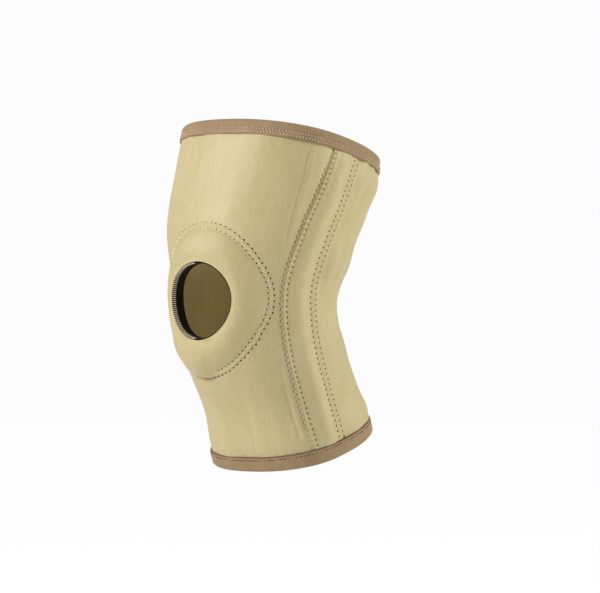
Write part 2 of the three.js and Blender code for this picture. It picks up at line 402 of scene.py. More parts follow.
def shell(name, outer, inner, uv, materials, keep=None):
    """A closed sheet between two grids of points with the same rows and columns. keep leaves out
    cells, and a second material goes on the cut edges."""
    rows, columns = outer.shape[:2]
    count = rows * columns
    if keep is None:
        keep = np.ones((rows - 1, columns - 1), bool)
    r, c = np.nonzero(keep)
    a = r * columns + c
    quads = np.stack([a, a + 1, a + 1 + columns, a + columns], 1)
    edges = np.concatenate([quads[:, [i, (i + 1) % 4]] for i in range(4)])
    ordered = np.sort(edges, axis=1)
    key = ordered[:, 0] * count + ordered[:, 1]
    _, where, times = np.unique(key, return_index=True, return_counts=True)
    used = np.unique(quads)
    renumber = np.full(count, -1)
    renumber[used] = np.arange(len(used))
    top = renumber[quads]
    under = top[:, ::-1] + len(used)
    rim = renumber[edges[where[times == 1]]]
    sides = np.stack([rim[:, 1], rim[:, 0], rim[:, 0] + len(used), rim[:, 1] + len(used)], 1)
    points = np.concatenate([outer.reshape(-1, 3)[used], inner.reshape(-1, 3)[used]])
    flat = uv.reshape(-1, 2)[used]
    faces = np.concatenate([top, under, sides]).tolist()
    made = make_object(name, points, faces, materials, np.concatenate([flat, flat]))
    index = np.zeros(len(made.data.polygons), np.int32)
    index[-len(sides) :] = len(materials) - 1
    made.data.polygons.foreach_set("material_index", index)
    face_outwards(made)
    return made


def ring_of_profiles(name, points, uv, materials, dark_rows=()):
    """A closed tube from a grid whose rows and columns both close on themselves. Faces that start
    on a dark row take the second material."""
    rows, columns = points.shape[:2]
    r, c = np.divmod(np.arange(rows * columns), columns)
    following = ((r + 1) % rows) * columns
    after = (c + 1) % columns
    quads = np.stack([r * columns + c, r * columns + after, following + after, following + c], 1)
    made = make_object(name, points.reshape(-1, 3), quads.tolist(), materials, uv.reshape(-1, 2))
    made.data.polygons.foreach_set("material_index", np.isin(r, dark_rows).astype(np.int32))
    face_outwards(made)
    return made


def face_outwards(made):
    """Turns a closed mesh right side out, by the sign of its volume."""
    mesh = made.data
    mesh.calc_loop_triangles()
    corners = np.zeros(len(mesh.loop_triangles) * 3, np.int32)
    mesh.loop_triangles.foreach_get("vertices", corners)
    points = np.zeros(len(mesh.vertices) * 3)
    mesh.vertices.foreach_get("co", points)
    a, b, c = points.reshape(-1, 3)[corners.reshape(-1, 3)].transpose(1, 0, 2)
    if np.einsum("ij,ij->", a, np.cross(b, c)) < 0:
        mesh.flip_normals()
    mesh.update()


def dress(piece, slot, *nodes):
    """The piece rides on the one body, in place of the solids that it stands for."""
    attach(piece, "root")
    if nodes:
        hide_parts(*nodes)


def add(tree, kind, inputs=(), **settings):
    """A node with its settings, and its inputs as values or links."""
    node = tree.nodes.new(kind)
    for name, value in settings.items():
        setattr(node, name, value)
    for key, value in dict(inputs).items():
        if isinstance(value, bpy.types.NodeSocket):
            tree.links.new(value, node.inputs[key])
        else:
            node.inputs[key].default_value = value
    return node


def maths(tree, operation, a, b=0.0, c=0.0):
    return add(tree, "ShaderNodeMath", {0: a, 1: b, 2: c}, operation=operation).outputs[0]


def mixed(tree, share, a, b):
    inputs = {0: share, 6: a, 7: b}
    return add(tree, "ShaderNodeMix", inputs, data_type="RGBA").outputs[2]


def noise(tree, vector, scale, detail, roughness=0.5):
    inputs = {"Vector": vector, "Scale": scale, "Detail": detail, "Roughness": roughness}
    return add(tree, "ShaderNodeTexNoise", inputs).outputs[0]


def combined(tree, x, y, z):
    return add(tree, "ShaderNodeCombineXYZ", {0: x, 1: y, 2: z}).outputs[0]


def shader_group(name, inputs, outputs):
    """A shader node group with named number sockets. Returns its tree and its two end nodes."""
    tree = bpy.data.node_groups.new(name, "ShaderNodeTree")
    kind = "NodeSocketFloat"
    for socket, default in inputs:
        made = tree.interface.new_socket(socket, in_out="INPUT", socket_type=kind)
        made.default_value = default
    for socket in outputs:
        tree.interface.new_socket(socket, in_out="OUTPUT", socket_type=kind)
    return tree, add(tree, "NodeGroupInput"), add(tree, "NodeGroupOutput")


def knit_group():
    """Fine upright ribs crossed by courses, and long faint streaks, on the cloth's own map."""
    if "jersey_knit" in bpy.data.node_groups:
        return bpy.data.node_groups["jersey_knit"]
    inputs = [("Rib Pitch mm", 1.1), ("Course Pitch mm", 0.8)]
    tree, given, result = shader_group("jersey_knit", inputs, ["Height", "Tone", "Streak"])
    uv = add(tree, "ShaderNodeUVMap", uv_map="cloth").outputs[0]
    u, v, _ = add(tree, "ShaderNodeSeparateXYZ", {0: uv}).outputs

    def turned(distance, pitch):
        turns = maths(tree, "MULTIPLY", distance, 2000 * math.pi)
        return maths(tree, "DIVIDE", turns, pitch)

    shifted = maths(tree, "MULTIPLY_ADD", noise(tree, uv, 90.0, 2.0), 0.0012, u)
    rib = maths(tree, "SINE", turned(shifted, given.outputs[0]))
    course_turn = turned(v, given.outputs[1])
    course = maths(tree, "SINE", maths(tree, "ADD", course_turn, rib))
    both = maths(tree, "MULTIPLY_ADD", course, 0.45, rib)
    height = maths(tree, "MULTIPLY_ADD", noise(tree, uv, 2600.0, 3.0), 1.4, both)
    squeezed = combined(tree, u, maths(tree, "MULTIPLY", v, 0.16), 0.0)
    tree.links.new(height, result.inputs["Height"])
    tree.links.new(maths(tree, "MULTIPLY_ADD", height, 0.2, 0.35), result.inputs["Tone"])
    tree.links.new(noise(tree, squeezed, 300.0, 5.0, 0.7), result.inputs["Streak"])
    return tree


def mottle_group():
    """Broad soft unevenness of tone, stretched upright, on object coordinates."""
    if "soft_mottle" in bpy.data.node_groups:
        return bpy.data.node_groups["soft_mottle"]
    inputs = [("Scale", 24.0), ("Stretch", 0.35)]
    tree, given, result = shader_group("soft_mottle", inputs, ["Tone"])
    place = add(tree, "ShaderNodeTexCoord").outputs["Object"]
    x, y, z = add(tree, "ShaderNodeSeparateXYZ", {0: place}).outputs
    vector = combined(tree, x, y, maths(tree, "MULTIPLY", z, given.outputs[1]))
    patches = noise(tree, vector, given.outputs[0], 5.0, 0.62)
    grain = noise(tree, vector, 420.0, 3.0, 0.6)
    both = maths(tree, "MULTIPLY_ADD", grain, 0.45, maths(tree, "MULTIPLY", patches, 0.55))
    tree.links.new(both, result.inputs[0])
    return tree


def shaded(colour, factor):
    """A colour made lighter or darker, as a shader colour."""
    return tuple(min(1.0, v * factor) for v in colour[:3]) + (1.0,)


def spread_out(tree, value, gain):
    """A noise value stretched about its middle and kept between 0 and 1."""
    stretched = maths(tree, "MULTIPLY_ADD", value, gain, 0.5 - gain / 2)
    return add(tree, "ShaderNodeClamp", {0: stretched}).outputs[0]


def new_material(name, roughness, specular):
    """A material, its tree and its main shader."""
    material = bpy.data.materials.new(name)
    material.use_nodes = True
    shader = material.node_tree.nodes["Principled BSDF"]
    shader.inputs["Roughness"].default_value = roughness
    shader.inputs["Specular IOR Level"].default_value = specular
    return material, material.node_tree, shader


def make_bumpy(tree, shader, strength, depth, height):
    inputs = {"Strength": strength, "Distance": depth * MM, "Height": height}
    bump = add(tree, "ShaderNodeBump", inputs)
    tree.links.new(bump.outputs[0], shader.inputs["Normal"])


def cloth_material(name, dark, light, knit_depth, rib_pitch, specular, sheen):
    """Matte knitted cloth: ribs, upright streaks and a mottled tone between two colours."""
    if name in bpy.data.materials:
        return bpy.data.materials[name]
    material, tree, shader = new_material(name, CLOTH_ROUGHNESS, specular)
    shader.inputs["Sheen Weight"].default_value = sheen
    shader.inputs["Sheen Roughness"].default_value = 0.5
    knit = add(tree, "ShaderNodeGroup", node_tree=knit_group())
    knit.inputs["Rib Pitch mm"].default_value = rib_pitch
    broad = add(tree, "ShaderNodeGroup", node_tree=mottle_group())
    broad_tone = maths(tree, "MULTIPLY", spread_out(tree, broad.outputs[0], 3.6), 0.7)
    streak_tone = spread_out(tree, knit.outputs["Streak"], 2.6)
    tone = maths(tree, "MULTIPLY_ADD", streak_tone, 0.3, broad_tone)
    base = mixed(tree, tone, shaded(dark, 1), shaded(light, 1))
    fine = maths(tree, "MULTIPLY", knit.outputs["Tone"], 0.14)
    base = mixed(tree, fine, base, shaded(dark, 0.5))
    tree.links.new(base, shader.inputs["Base Color"])
    make_bumpy(tree, shader, 0.6, knit_depth, knit.outputs["Height"])
    return material


def plain_material(name, colour, roughness):
    """Thread or foam: one colour broken by a fine grain."""
    if name in bpy.data.materials:
        return bpy.data.materials[name]
    material, tree, shader = new_material(name, roughness, 0.2)
    place = add(tree, "ShaderNodeTexCoord").outputs["Object"]
    grain = noise(tree, place, 900.0, 3.0)
    base = mixed(tree, grain, shaded(colour, 0.86), shaded(colour, 1.12))
    tree.links.new(base, shader.inputs["Base Color"])
    make_bumpy(tree, shader, 0.5, 0.05, grain)
    return material


def sleeve_cloth():
    look = bpy.context.scene.sleeve_looks
    tones = look.cloth_dark, look.cloth_light
    return cloth_material("sleeve_jersey", *tones, look.knit_depth, look.rib_pitch, 0.75, 0.08)


def tape_cloth():
    look = bpy.context.scene.sleeve_looks
    return cloth_material("woven_tape", look.tape_dark, look.tape_light, 0.1, 0.7, 0.25, 0.0)


def tape_shadow():
    look = bpy.context.scene.sleeve_looks
    return plain_material("tape_shadow_thread", look.tape_shadow_colour, 0.8)


def sleeve_thread():
    return plain_material("cream_thread", bpy.context.scene.sleeve_looks.thread_colour, 0.7)


# Painted shade: the dark colour of the beads that stand for needle holes
def needle_shadow():
    return plain_material("needle_hole", (0.07, 0.047, 0.017), 0.95)


def foam_core():
    return plain_material("foam_core", (0.012, 0.008, 0.004), 0.95)


def points_tree(name, numbers):
    """A Geometry Nodes tree with named number inputs and a material. Returns its tree and its two
    end nodes."""
    tree = bpy.data.node_groups.new(name, "GeometryNodeTree")
    sockets = tree.interface
    sockets.new_socket("Geometry", in_out="INPUT", socket_type="NodeSocketGeometry")
    for socket in numbers:
        sockets.new_socket(socket, in_out="INPUT", socket_type="NodeSocketFloat")
    sockets.new_socket("Material", in_out="INPUT", socket_type="NodeSocketMaterial")
    sockets.new_socket("Geometry", in_out="OUTPUT", socket_type="NodeSocketGeometry")
    return tree, add(tree, "NodeGroupInput"), add(tree, "NodeGroupOutput")


def named_vector(tree, name):
    kind = "GeometryNodeInputNamedAttribute"
    return add(tree, kind, {"Name": name}, data_type="FLOAT_VECTOR").outputs["Attribute"]


def scatter(tree, given, result, form, scale):
    """The form on each point, upright along rise and lengthwise along run, as real faces."""
    turn = add(
        tree,
        "FunctionNodeAxesToRotation",
        {0: named_vector(tree, "rise"), 1: named_vector(tree, "run")},
        primary_axis="Z",
        secondary_axis="X",
    )
    inputs = {
        "Points": given.outputs["Geometry"],
        "Instance": form,
        "Rotation": turn.outputs[0],
        "Scale": scale,
    }
    copies = add(tree, "GeometryNodeInstanceOnPoints", inputs)
    real = add(tree, "GeometryNodeRealizeInstances", {"Geometry": copies.outputs[0]})
    rounded = add(tree, "GeometryNodeSetShadeSmooth", {"Geometry": real.outputs[0]})
    inputs = {"Geometry": rounded.outputs[0], "Material": given.outputs["Material"]}
    finished = add(tree, "GeometryNodeSetMaterial", inputs)
    tree.links.new(finished.outputs[0], result.inputs[0])


def thread_tree():
    """One bent length of thread on each point, lying along run and standing up along rise."""
    if "thread_stitches" in bpy.data.node_groups:
        return bpy.data.node_groups["thread_stitches"]
    numbers = ["Thread Radius", "Thread Arch", "Thread Dip"]
    tree, given, result = points_tree("thread_stitches", numbers)
    dip = maths(tree, "MULTIPLY", given.outputs["Thread Dip"], -1.0)
    bend = {
        "Resolution": 5,
        "Start": combined(tree, -0.5, 0.0, dip),
        "Middle": combined(tree, 0.0, 0.0, given.outputs["Thread Arch"]),
        "End": combined(tree, 0.5, 0.0, dip),
    }
    bent = add(tree, "GeometryNodeCurveQuadraticBezier", bend)
    section = {"Resolution": 6, "Radius": given.outputs["Thread Radius"]}
    section = add(tree, "GeometryNodeCurvePrimitiveCircle", section)
    swept = {"Curve": bent.outputs[0], "Profile Curve": section.outputs[0], "Fill Caps": True}
    thread = add(tree, "GeometryNodeCurveToMesh", swept)
    run = named_vector(tree, "run")
    length = add(tree, "ShaderNodeVectorMath", {0: run}, operation="LENGTH")
    scale = combined(tree, length.outputs["Value"], 1.0, 1.0)
    scatter(tree, given, result, thread.outputs[0], scale)
    return tree


def hole_tree():
    """A small dark flattened bead on each point, facing along rise: the painted shade of a needle
    hole.
    """
    if "needle_holes" in bpy.data.node_groups:
        return bpy.data.node_groups["needle_holes"]
    tree, given, result = points_tree("needle_holes", ["Hole Radius", "Hole Height"])
    radius = given.outputs["Hole Radius"]
    bead = add(tree, "GeometryNodeMeshUVSphere", {"Segments": 8, "Rings": 5, "Radius": radius})
    flat = maths(tree, "DIVIDE", given.outputs["Hole Height"], radius)
    scatter(tree, given, result, bead.outputs[0], combined(tree, 1.0, 1.0, flat))
    return tree


def socket_id(tree, name):
    """A modifier input's identifier in a Geometry Nodes tree."""
    for item in tree.interface.items_tree:
        if item.in_out == "INPUT" and item.name == name:
            return item.identifier
    raise RuntimeError(f"the tree {tree.name} has no input {name}")


def grown(name, points, run, rise, tree, inputs):
    """A plain mesh piece that a tree grows on points in millimetres."""
    mesh = bpy.data.meshes.new(name + "_points")
    mesh.from_pydata((points * MM).tolist(), [], [])
    for key, value in (("run", run * MM), ("rise", rise)):
        layer = mesh.attributes.new(key, "FLOAT_VECTOR", "POINT")
        layer.data.foreach_set("vector", np.asarray(value, float).ravel())
    seed = linked(name + "_points", mesh)
    modifier = seed.modifiers.new("rows", "NODES")
    modifier.node_group = tree
    for key, value in inputs.items():
        modifier[socket_id(tree, key)] = value
    depsgraph = bpy.context.evaluated_depsgraph_get()
    result = bpy.data.meshes.new_from_object(seed.evaluated_get(depsgraph))
    seed.modifiers.remove(modifier)
    bpy.data.objects.remove(seed)
    bpy.data.meshes.remove(mesh)
    if not result.polygons:
        raise RuntimeError(f"{name} came out empty")
    for attribute in ("run", "rise"):
        if attribute in result.attributes:
            result.attributes.remove(result.attributes[attribute])
    result.name = name
    return linked(name, result)


def sew(name, starts, ends, rise, material, radius, arch, dip=0.25):
    """Threads from each start to its end."""
    inputs = {
        "Thread Radius": radius * MM,
        "Thread Arch": arch * MM,
        "Thread Dip": dip * MM,
        "Material": material,
    }
    return grown(name, (starts + ends) / 2, ends - starts, rise, thread_tree(), inputs)


def pierce(name, points, rise, radius, height=0.12):
    """Needle holes at points, as dark beads of painted shade."""
    sideways = np.cross(rise, (0.0, 0.0, 1.0)) + (1e-4, 0, 0)
    inputs = {"Hole Radius": radius * MM, "Hole Height": height * MM, "Material": needle_shadow()}
    return grown(name, points, sideways, rise, hole_tree(), inputs)


def join_pieces(name, pieces):
    """One object of several plain ones."""
    with bpy.context.temp_override(active_object=pieces[0], selected_editable_objects=pieces):
        bpy.ops.object.join()
    pieces[0].name = name
    pieces[0].data.name = name
    return pieces[0]


def unit(vectors):
    return vectors / np.linalg.norm(vectors, axis=-1, keepdims=True)


def all_round(count):
    """Even steps round a full turn."""
    return np.linspace(0, 2 * math.pi, count + 1)[:-1]


def outer_normals(points):
    """Unit normals of a grid laid out from one side round to the other and up the tube."""
    around = np.gradient(points, axis=1)
    along = np.gradient(points, axis=0)
    normal = np.cross(around, along)
    return normal / (np.linalg.norm(normal, axis=-1, keepdims=True) + 1e-12)


def distance_along_rows(points):
    """How far each point of a grid lies from the start of its row."""
    steps = np.linalg.norm(np.diff(points, axis=1), axis=-1)
    return np.concatenate([np.zeros((len(points), 1)), np.cumsum(steps, axis=1)], 1)


def graded(fine_at, fine, coarse, reach):
    """Shares from 0 to 1, closer together within reach of the share fine_at."""
    shares = [0.0]
    while shares[-1] < 1:
        near = abs(shares[-1] - fine_at) < reach
        shares.append(shares[-1] + (fine if near else coarse))
    return np.array(shares) / shares[-1]


def panel_grid(first, last, half):
    """Angles, face points and seam distances of a panel between two angles that change up the tube.
    half gives the shares of one half of it, and the other half mirrors them."""
    shares = np.concatenate([half / 2, 1 - half[-2::-1] / 2])[None, :]
    s = np.linspace(CLOTH_BOTTOM, CLOTH_TOP, 262)[:, None]
    angle = first(s) + (last(s) - first(s)) * shares
    base = surface(angle, s)
    run = distance_along_rows(base)
    return s + 0 * run, base, run, np.minimum(run, run[:, -1:] - run), shares


def seam_line():
    """Places along the strips, from the first stitch of a seam to the last."""
    return np.linspace(STRIP_BOTTOM + SEAM_MARGIN, STRIP_TOP - SEAM_MARGIN, 600)


def seam_numbers(s, edge_way):
    """The stitches before s along the front (-1) or rear (1) edge of a strip."""
    fine = seam_line()
    points = strip_point(edge_way * STRIP_WIDTH / 2, fine, 1, 0.0)
    return np.interp(s, fine, stitch_numbers(points, SEAM_PITCH))


def seam_relief(number, edge, row):
    """The groove beside a side strip and the row of needle holes in the panel."""
    return -0.4 * bell(edge - 0.6, 0.8) + pucker(number, edge - row)


def front_relief(base, seam, s):
    """Creases, bands and unevenness of the front cloth."""
    x, z = base[..., 0], base[..., 2]
    edge = seam - STRIP_WIDTH / 2
    relief = seam_relief(seam_numbers(s, -1), edge, PANEL_ROW)
    # A sharp crease that closes on the strip from above, and a fainter one below the pad
    upper = smooth(16, 34, s) * (1 - smooth(84, 97, s))
    lower = smooth(-108, -92, s) * (1 - smooth(-52, -36, s))
    upper_place = 4.5 + 0.165 * s
    relief = relief - 0.75 * upper * bell(edge - upper_place, 1.5)
    relief = relief + 0.5 * upper * bell(edge - upper_place + 3.2, 2.2)
    relief = relief - 0.5 * lower * bell(edge - 8.0, 1.2)
    relief = relief + 0.3 * lower * bell(edge - 5.0, 2.0)
    share = share_of_ellipse(x, z, PAD_HALF_WIDTH, PAD_HALF_HEIGHT, PAD_DROP)
    from_ring = (share - 1) * PAD_HALF_HEIGHT
    # The fold under the pad where its stitching goes out of sight
    turn = np.arctan2(x - KNEECAP_LEAN * (z + PAD_DROP), z + PAD_DROP) % (2 * math.pi)
    from_ring = from_ring - sagging(turn)
    relief = relief - 2.8 * folded_over(turn) * bell(from_ring - 1.0, 1.9)
    clear = smooth(2, 14, edge) * smooth(0, 12, from_ring)
    relief = relief + 0.4 * slow_waves(x, z, 11) * clear
    relief = relief + 0.18 * slow_waves(x, z * 0.12, 12, 6, 9, 22) * clear
    # The cloth swells a little where the tapes draw it in
    return relief + 0.5 * bell(s - 88, 9) + 0.5 * bell(s + 103, 8)


def back_relief(base, seam, s):
    """Swells behind the strips, soft folds across the bend and upright bands."""
    x, z = base[..., 0], base[..., 2]
    edge = seam - STRIP_WIDTH / 2
    relief = seam_relief(seam_numbers(s, 1), edge, REAR_PANEL_ROW)
    upper = smooth(-30, 20, s)
    relief = relief - 0.6 * bell(edge - 7.5, 3.0) * (0.4 + 0.6 * upper)
    relief = relief + 0.9 * bell(edge - 15.0, 5.0) * upper
    relief = relief - 0.3 * bell(edge - 23.0, 4.0) * upper
    middle = 1 - smooth(8, 34, np.abs(x))
    for fold in BACK_FOLDS:
        place = fold["place"] + fold["slant"] * x + 2.0 * np.sin(x / 13.0)
        relief = relief - fold["depth"] * bell(s - place, 2.6) * middle
    clear = smooth(2, 16, edge)
    for swell in BACK_SWELLS:
        relief = relief + swell["height"] * bell(s - swell["place"], swell["reach"]) * clear
    relief = relief + 0.45 * slow_waves(x, z, 23) * clear
    return relief + 0.25 * slow_waves(seam, z * 0.12, 24, 6, 10, 24) * clear


def make_panel(name, node, grid, relief, flat, keep=None):
    """A panel of foam-backed jersey, its cloth map as wide as the sheet it was cut from."""
    s, base, run, _, shares = grid
    normal = outer_normals(base)
    outer = base + normal * relief[..., None]
    inner = base + normal * (0.35 * np.minimum(relief, 0) - WALL)[..., None]
    uv = np.stack([(shares - 0.5) * flat[0] / MM + 0 * run, s], -1)
    piece = shell(name, outer, inner, uv, [sleeve_cloth(), foam_core()], keep)
    dress(piece, "sleeve_cloth", node)


def make_front_cloth():
    """The front panel, from seam to seam, with the kneecap opening."""
    look = bpy.context.scene.sleeve_looks
    grid = panel_grid(lambda s: -strip_angle(s), strip_angle, graded(0.28, 0.0085, 0.024, 0.18))
    s, base, _, seam, _ = grid
    share = share_of_ellipse(
        base[..., 0],
        base[..., 2],
        HOLE_HALF_WIDTH + EDGING + GAP,
        HOLE_HALF_HEIGHT + EDGING + GAP,
        HOLE_DROP,
    )
    around = [share[:-1, :-1], share[1:, :-1], share[:-1, 1:], share[1:, 1:]]
    keep = np.min(around, axis=0) > 1
    relief = front_relief(base, seam, s)
    make_panel("front_cloth", "front_panel", grid, relief, look.front_flat, keep)


def make_back_cloth():
    """The back panel, from seam to seam round the hollow of the bend."""
    look = bpy.context.scene.sleeve_looks
    grid = panel_grid(
        strip_angle, lambda s: 2 * math.pi - strip_angle(s), graded(0.14, 0.0065, 0.017, 0.06)
    )
    s, base, _, seam, _ = grid
    relief = back_relief(base, seam, s)
    make_panel("back_cloth", "back_panel", grid, relief, look.back_flat)


def strip_point(across, s, side, out):
    """A point over the seam: across runs backwards from the middle of the strip."""
    angle = angle_after(strip_angle(s), across, s)
    point = surface(angle, s, out)
    return point * (side, 1, 1)


def make_side_strip(side, name, node):
    """A strip sewn down one side over the seam, domed by the stay inside it."""
    s = np.linspace(STRIP_BOTTOM, STRIP_TOP, 256)[:, None]
    across = np.linspace(-STRIP_WIDTH / 2, STRIP_WIDTH / 2, 53)[None, :]
    edge = STRIP_WIDTH / 2 - np.abs(across)
    number = np.where(across < 0, seam_numbers(s, -1), seam_numbers(s, 1)) + 0.5
    height = strip_height(across, s) + pucker(number, edge - STRIP_ROW)
    height = height + 0.3 * slow_waves(across * 2, s, 31 + side) * smooth(3, 8, edge)
    outer = strip_point(across, s, side, np.maximum(height, GAP + 0.15))
    inner = strip_point(across, s, side, 0.08 + 0 * height)
    uv = np.stack([across + 0 * s, s + 0 * across], -1)
    piece = shell(name, outer, inner, uv, [sleeve_cloth()])
    dress(piece, "sleeve_cloth", node)


def pad_point(turn, across, out):
    """A point over the pad, from the opening's rim (across 0) to the sewn outline (1)."""
    x0, z0 = hole_outline(turn, EDGING + GAP)
    x1, z1 = pad_outline(turn)
    return face(x0 + (x1 - x0) * across, z0 + (z1 - z0) * across, out)


def ring_numbers(turn):
    """The stitches before an angle round the sewn outline of the pad."""
    fine = np.linspace(0, 2 * math.pi, 1441)
    numbers = stitch_numbers(face(*pad_outline(fine)), RING_PITCH)
    return np.interp(turn, fine, numbers), fine, numbers


def blown(start, sewn):
    """A grid of points, whose rows close on themselves, after it is blown up as cloth that is sewn
    down where sewn is true."""
    rows, columns = start.shape[:2]
    count = rows * columns
    a = np.nonzero(np.arange(count) % columns < columns - 1)[0]
    b = (a + columns) % count
    faces = np.stack([a, b, b + 1, a + 1], 1).tolist()
    points = start.reshape(-1, 3)
    trial = make_object("pad_trial", points, faces, [], points[:, :2])
    pinned = np.nonzero(sewn.ravel())[0].tolist()
    trial.vertex_groups.new(name="sewn").add(pinned, 1.0, "REPLACE")
    cloth = trial.modifiers.new("Cloth", "CLOTH")
    cloth.settings.vertex_group_mass = "sewn"
    cloth.settings.use_pressure = True
    cloth.settings.uniform_pressure_force = CLOTH_PRESSURE
    cloth.settings.effector_weights.gravity = 0.0
    cloth.point_cache.frame_end = CLOTH_FRAMES
    scene = bpy.context.scene
    for frame in range(1, CLOTH_FRAMES + 1):
        scene.frame_set(frame)
    full = trial.evaluated_get(bpy.context.evaluated_depsgraph_get())
    after = np.zeros(count * 3)
    full.data.vertices.foreach_get("co", after)
    scene.frame_set(1)
    bpy.data.objects.remove(trial)
    return after.reshape(rows, columns, 3) / MM


def settled(turn, across):
    """How far the pad's face moves when it is blown up as cloth that is sewn down along the ring
    and the rim: millimetres out of the sleeve, at angles round it and shares across it."""
    turns = all_round(TRIAL_TURNS)
    shares = np.linspace(0, 1, TRIAL_SHARES)
    turn_grid, share_grid = turns[:, None], shares[None, :]
    run = distance_along_rows(pad_point(turn_grid, share_grid, 0.0))
    width = run[:, -1:]
    height = pad_height(share_grid, width - run, width, turn_grid)
    start = pad_point(turn_grid, share_grid, height)
    column = np.arange(TRIAL_SHARES) + np.zeros((TRIAL_TURNS, 1))
    moved = blown(start, (column == 0) | (column >= TRIAL_SHARES - 2)) - start
    out = unit(pad_point(turn_grid, share_grid, height + 1.0) - start)
    rise = CLOTH_CAP * np.tanh((moved * out).sum(-1) / CLOTH_CAP)
    closed = np.concatenate([rise, rise[:1]])
    closed_turns = np.append(turns, 2 * math.pi)
    on_rows = np.stack([np.interp(across[0], shares, line) for line in closed])
    return np.stack([np.interp(turn[:, 0], closed_turns, line) for line in on_rows.T], 1)


def make_kneecap_pad():
    """The padded ring that swells out round the opening."""
    turn = all_round(480)[:, None]
    across = np.linspace(0, 1, 49)[None, :]
    run = distance_along_rows(pad_point(turn, across, 0.0))
    width = run[:, -1:]
    inside = width - run
    height = pad_height(across, inside, width, turn)
    height = height + settled(turn, across)
    along = turn * (PAD_HALF_WIDTH + PAD_HALF_HEIGHT) / 2
    height = height * (1 + 0.03 * slow_waves(along, 20 * across, 41, 7, 22, 60))
    number = ring_numbers(turn)[0]
    open_row = 1 - folded_over(turn)
    height = height + open_row * pucker(number + 0.5, inside + INNER_ROW)
    height = height + 0.5 * open_row * pucker(number, inside)
    # In the fold the pad hangs over its own edge
    hang = 0.08 * folded_over(turn) * bell(inside - 2.0, 2.0)
    outer = pad_point(turn, across + hang, np.maximum(height, 0.12))
    inner = pad_point(turn, across[:, ::-1], 0.05 + 0 * height)
    points = np.concatenate([outer, inner], 1)
    bent = MIDDLE_WIDTH / 2 + PAD_THICKNESS
    flat = np.stack([bent * np.arcsin(points[..., 0] / bent), points[..., 2]], -1)
    piece = ring_of_profiles("kneecap_pad", points, flat, [sleeve_cloth()])
    dress(piece, "sleeve_cloth", "patella_pad")


def make_kneecap_edging():
    """The bound rim of the opening, and the overcast threads that wrap it."""
    top = 0.35 + PAD_THICKNESS * PAD_RIM
    under = -WALL - GAP
    profile = [
        (EDGING_REACH, top - 0.2),
        (EDGING_REACH * 0.9, top + 0.12),
        (EDGING_REACH * 0.6, top + 0.2),
        (1.25, top + 0.2),
        (0.8, top + 0.15),
        (0.35, top - 0.25),
        (0.1, top - 0.9),
        (0.1, under + 0.2),
        (0.3, under - 0.3),
        (1.2, under - EDGING * 0.7),
        (EDGING_REACH, under - EDGING * 0.6),
        (EDGING_REACH, under),
        (EDGING, under),
        (EDGING, top - 0.4),
    ]
    turn = all_round(240)
    rows = []
    for margin, out in profile:
        x, z = hole_outline(turn, margin)
        rows.append(face(x, z, out + 0 * turn))
    points = np.stack(rows)
    flat = np.stack([points[..., 0], points[..., 2]], -1)
    # Dark foam core on the cut wall and under it (rows 6 and 7), carried up over the top of the rim
    # (rows 3 to 5) as a painted shadow line round the opening
    core_and_shadow_rows = [3, 4, 5, 6, 7]
    piece = ring_of_profiles(
        "kneecap_edging", points, flat, [sleeve_cloth(), foam_core()], core_and_shadow_rows
    )
    dress(piece, "edging_thread", "patella_edging")

    count = int(round(2 * math.pi * HOLE_HALF_WIDTH / OVERCAST_PITCH))
    draw = np.random.default_rng(5)
    turns = np.linspace(0, 2 * math.pi, count, endpoint=False)
    reach = EDGING_REACH * (0.9 + 0.3 * draw.random(count))
    lean = draw.normal(0, 0.006, count)

    def at(offset, margin, out):
        x, z = hole_outline(turns + offset, margin)
        return face(x, z, out + 0 * turns)

    # At the left the threads wrap on over the dark edge and down the wall of the opening
    left = (turns > math.radians(185)) & (turns < math.radians(355))
    outside = at(lean, reach, top + 0.02)
    shoulder = at(0, np.where(left, 0.55, 1.3), top + np.where(left, 0.15, 0.2))
    bottom = at(0, 0.0, top - 2.6)
    rise = unit(at(0, 0.9, top) - at(0, 0.9, top - 2))
    inward = unit(at(0, -1.0, top) - at(0, 1.0, top))
    thread = sleeve_thread()
    over = sew("overcast_outside", outside, shoulder, rise, thread, 0.2, 0.3, 0.0)
    down = sew(
        "overcast_inside", shoulder[left], bottom[left], inward[left], thread, 0.36, 0.3, 0.0
    )
    threads = join_pieces("overcast_threads", [over, down])
    dress(threads, "edging_thread")


